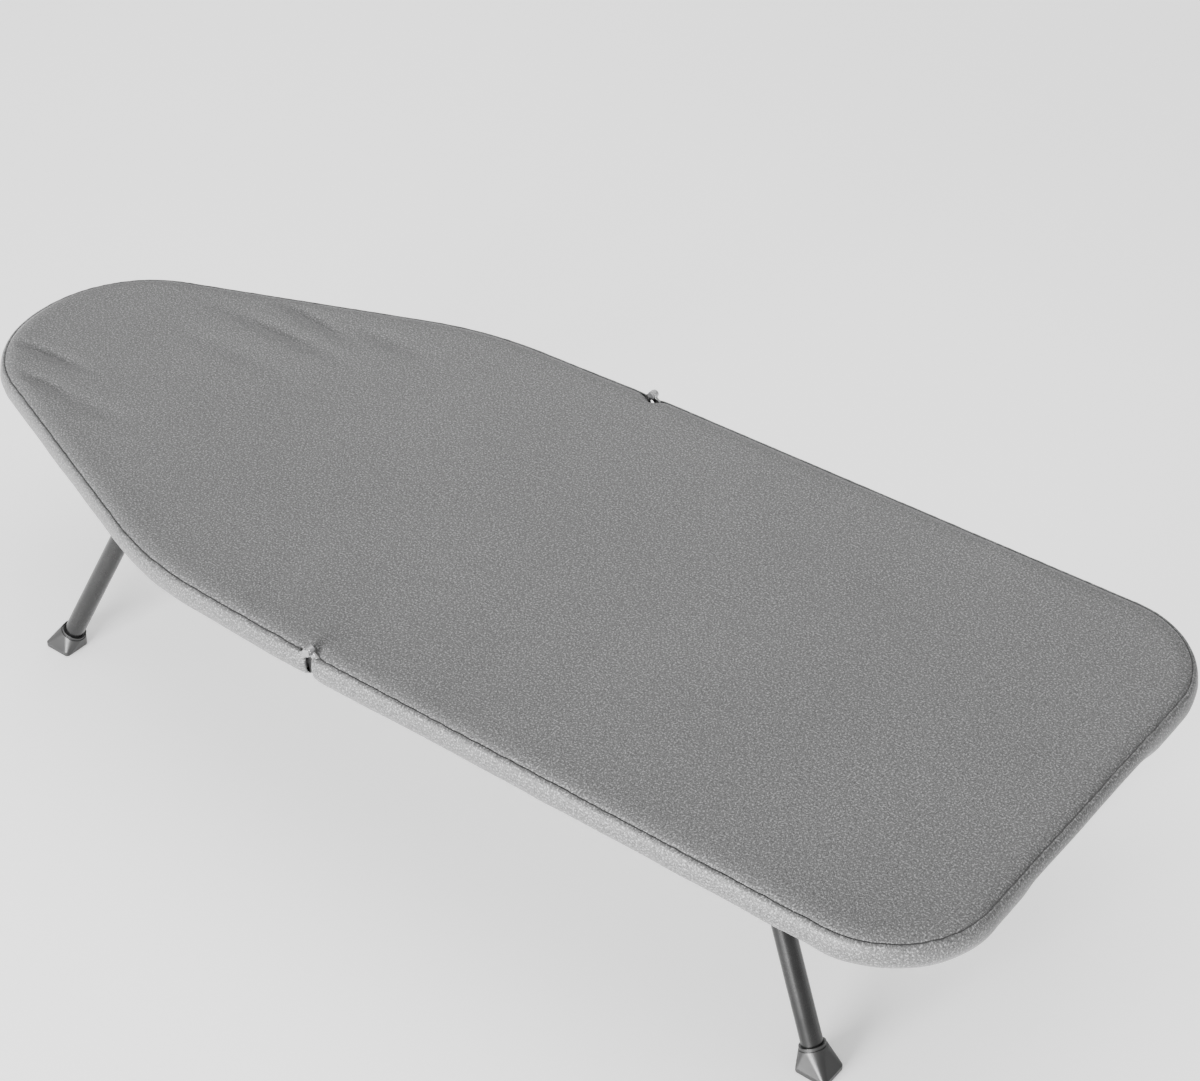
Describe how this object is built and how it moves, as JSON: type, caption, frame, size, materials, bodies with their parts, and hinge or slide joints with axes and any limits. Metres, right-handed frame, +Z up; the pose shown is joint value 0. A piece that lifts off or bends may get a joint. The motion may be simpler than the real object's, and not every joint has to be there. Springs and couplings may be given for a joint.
{
  "type": "folding tabletop ironing board",
  "caption": "Folding tabletop ironing board: padded rounded board in hinged halves on folding U-shaped legs, with a lock rod and a hanging hook.",
  "frame": {"origin": "on the table, below the middle of the board's length and width", "axes": "+X towards the square tail end, -X towards the rounded nose, +Z up"},
  "size_m": [0.795, 0.325, 0.1732],
  "materials": {
    "frame_paint": "semi-gloss black paint",
    "mesh_paint": "satin black paint",
    "bracket_paint": "satin black paint",
    "leg_paint": "semi-gloss black paint",
    "foot_plastic": "moulded, fine grain",
    "rivet_zinc": "zinc plated",
    "hinge_zinc": "zinc plated",
    "rod_steel": "bright plated",
    "cover_fabric": "heathered grey, faint metallic sheen",
    "hem_fabric": "heathered grey",
    "felt": "pale needled felt",
    "hook_plastic": "soft moulded sleeve",
    "elastic": "braided elastic cord",
    "label": "blank paper label"
  },
  "bodies": {
    "tail_half": {"tail_rim": "frame_paint", "tail_fold_bar": "frame_paint", "tail_mesh": "mesh_paint", "tail_rail_left": "frame_paint", "tail_rail_right": "frame_paint", "tail_leg_bracket": "bracket_paint", "tail_bracket_rivets": "rivet_zinc", "tail_sleeve_left": "frame_paint", "tail_sleeve_right": "frame_paint", "tail_hinge_plates": "hinge_zinc", "fold_hinge_pins": "hinge_zinc", "tail_pad": "felt", "tail_cover": "cover_fabric", "tail_cover_hem": "hem_fabric", "rod_clip": "bracket_paint", "rod_clip_rivet": "rivet_zinc", "loop_clip": "bracket_paint", "loop_clip_rivet": "rivet_zinc", "elastic_loop": "elastic", "rail_label": "label", "hook_fixed_plate": "hinge_zinc", "hook_hinge_pin": "hinge_zinc"},
    "nose_half": {"nose_rim": "frame_paint", "nose_fold_bar": "frame_paint", "nose_mesh": "mesh_paint", "nose_rail_left": "frame_paint", "nose_rail_right": "frame_paint", "nose_leg_bracket": "bracket_paint", "nose_bracket_rivets": "rivet_zinc", "nose_sleeve_left": "frame_paint", "nose_sleeve_right": "frame_paint", "nose_hinge_plates": "hinge_zinc", "nose_pad": "felt", "nose_cover": "cover_fabric", "nose_cover_hem": "hem_fabric"},
    "tail_leg": {"tail_leg_tube": "leg_paint", "tail_foot_left": "foot_plastic", "tail_foot_right": "foot_plastic"},
    "nose_leg": {"nose_leg_tube": "leg_paint", "nose_foot_left": "foot_plastic", "nose_foot_right": "foot_plastic"},
    "lock_rod": {"lock_rod": "rod_steel"},
    "hook_plate": {"hook_plate": "hinge_zinc"},
    "hook": {"hook_wire": "rod_steel", "hook_head": "rod_steel", "hook_tip": "hook_plastic"}
  },
  "joints": [
    {"name": "fold", "type": "hinge", "parent": "tail_half", "child": "nose_half", "pos_m": [-0.0075, 0, 0.1703], "axis": [0, 1, 0], "range_deg": [0, 180]},
    {"name": "tail_leg_fold", "type": "hinge", "parent": "tail_half", "child": "tail_leg", "pos_m": [0.2405, 0, 0.1459], "axis": [0, 1, 0], "range_deg": [0, 116]},
    {"name": "nose_leg_fold", "type": "hinge", "parent": "nose_half", "child": "nose_leg", "pos_m": [-0.2205, 0, 0.1459], "axis": [0, -1, 0], "range_deg": [0, 116]},
    {"name": "lock_slide", "type": "slide", "parent": "tail_half", "child": "lock_rod", "axis": [-1, 0, 0], "range_m": [0, 0.06]},
    {"name": "hook_flip", "type": "hinge", "parent": "tail_half", "child": "hook_plate", "pos_m": [0.3825, 0, 0.1452], "axis": [0, -1, 0], "range_deg": [0, 180]},
    {"name": "hook_swivel", "type": "hinge", "parent": "hook_plate", "child": "hook", "pos_m": [0.3765, -0.008, 0.1418], "axis": [-1, 0, 0], "range_deg": [0, 180]}
  ]
}
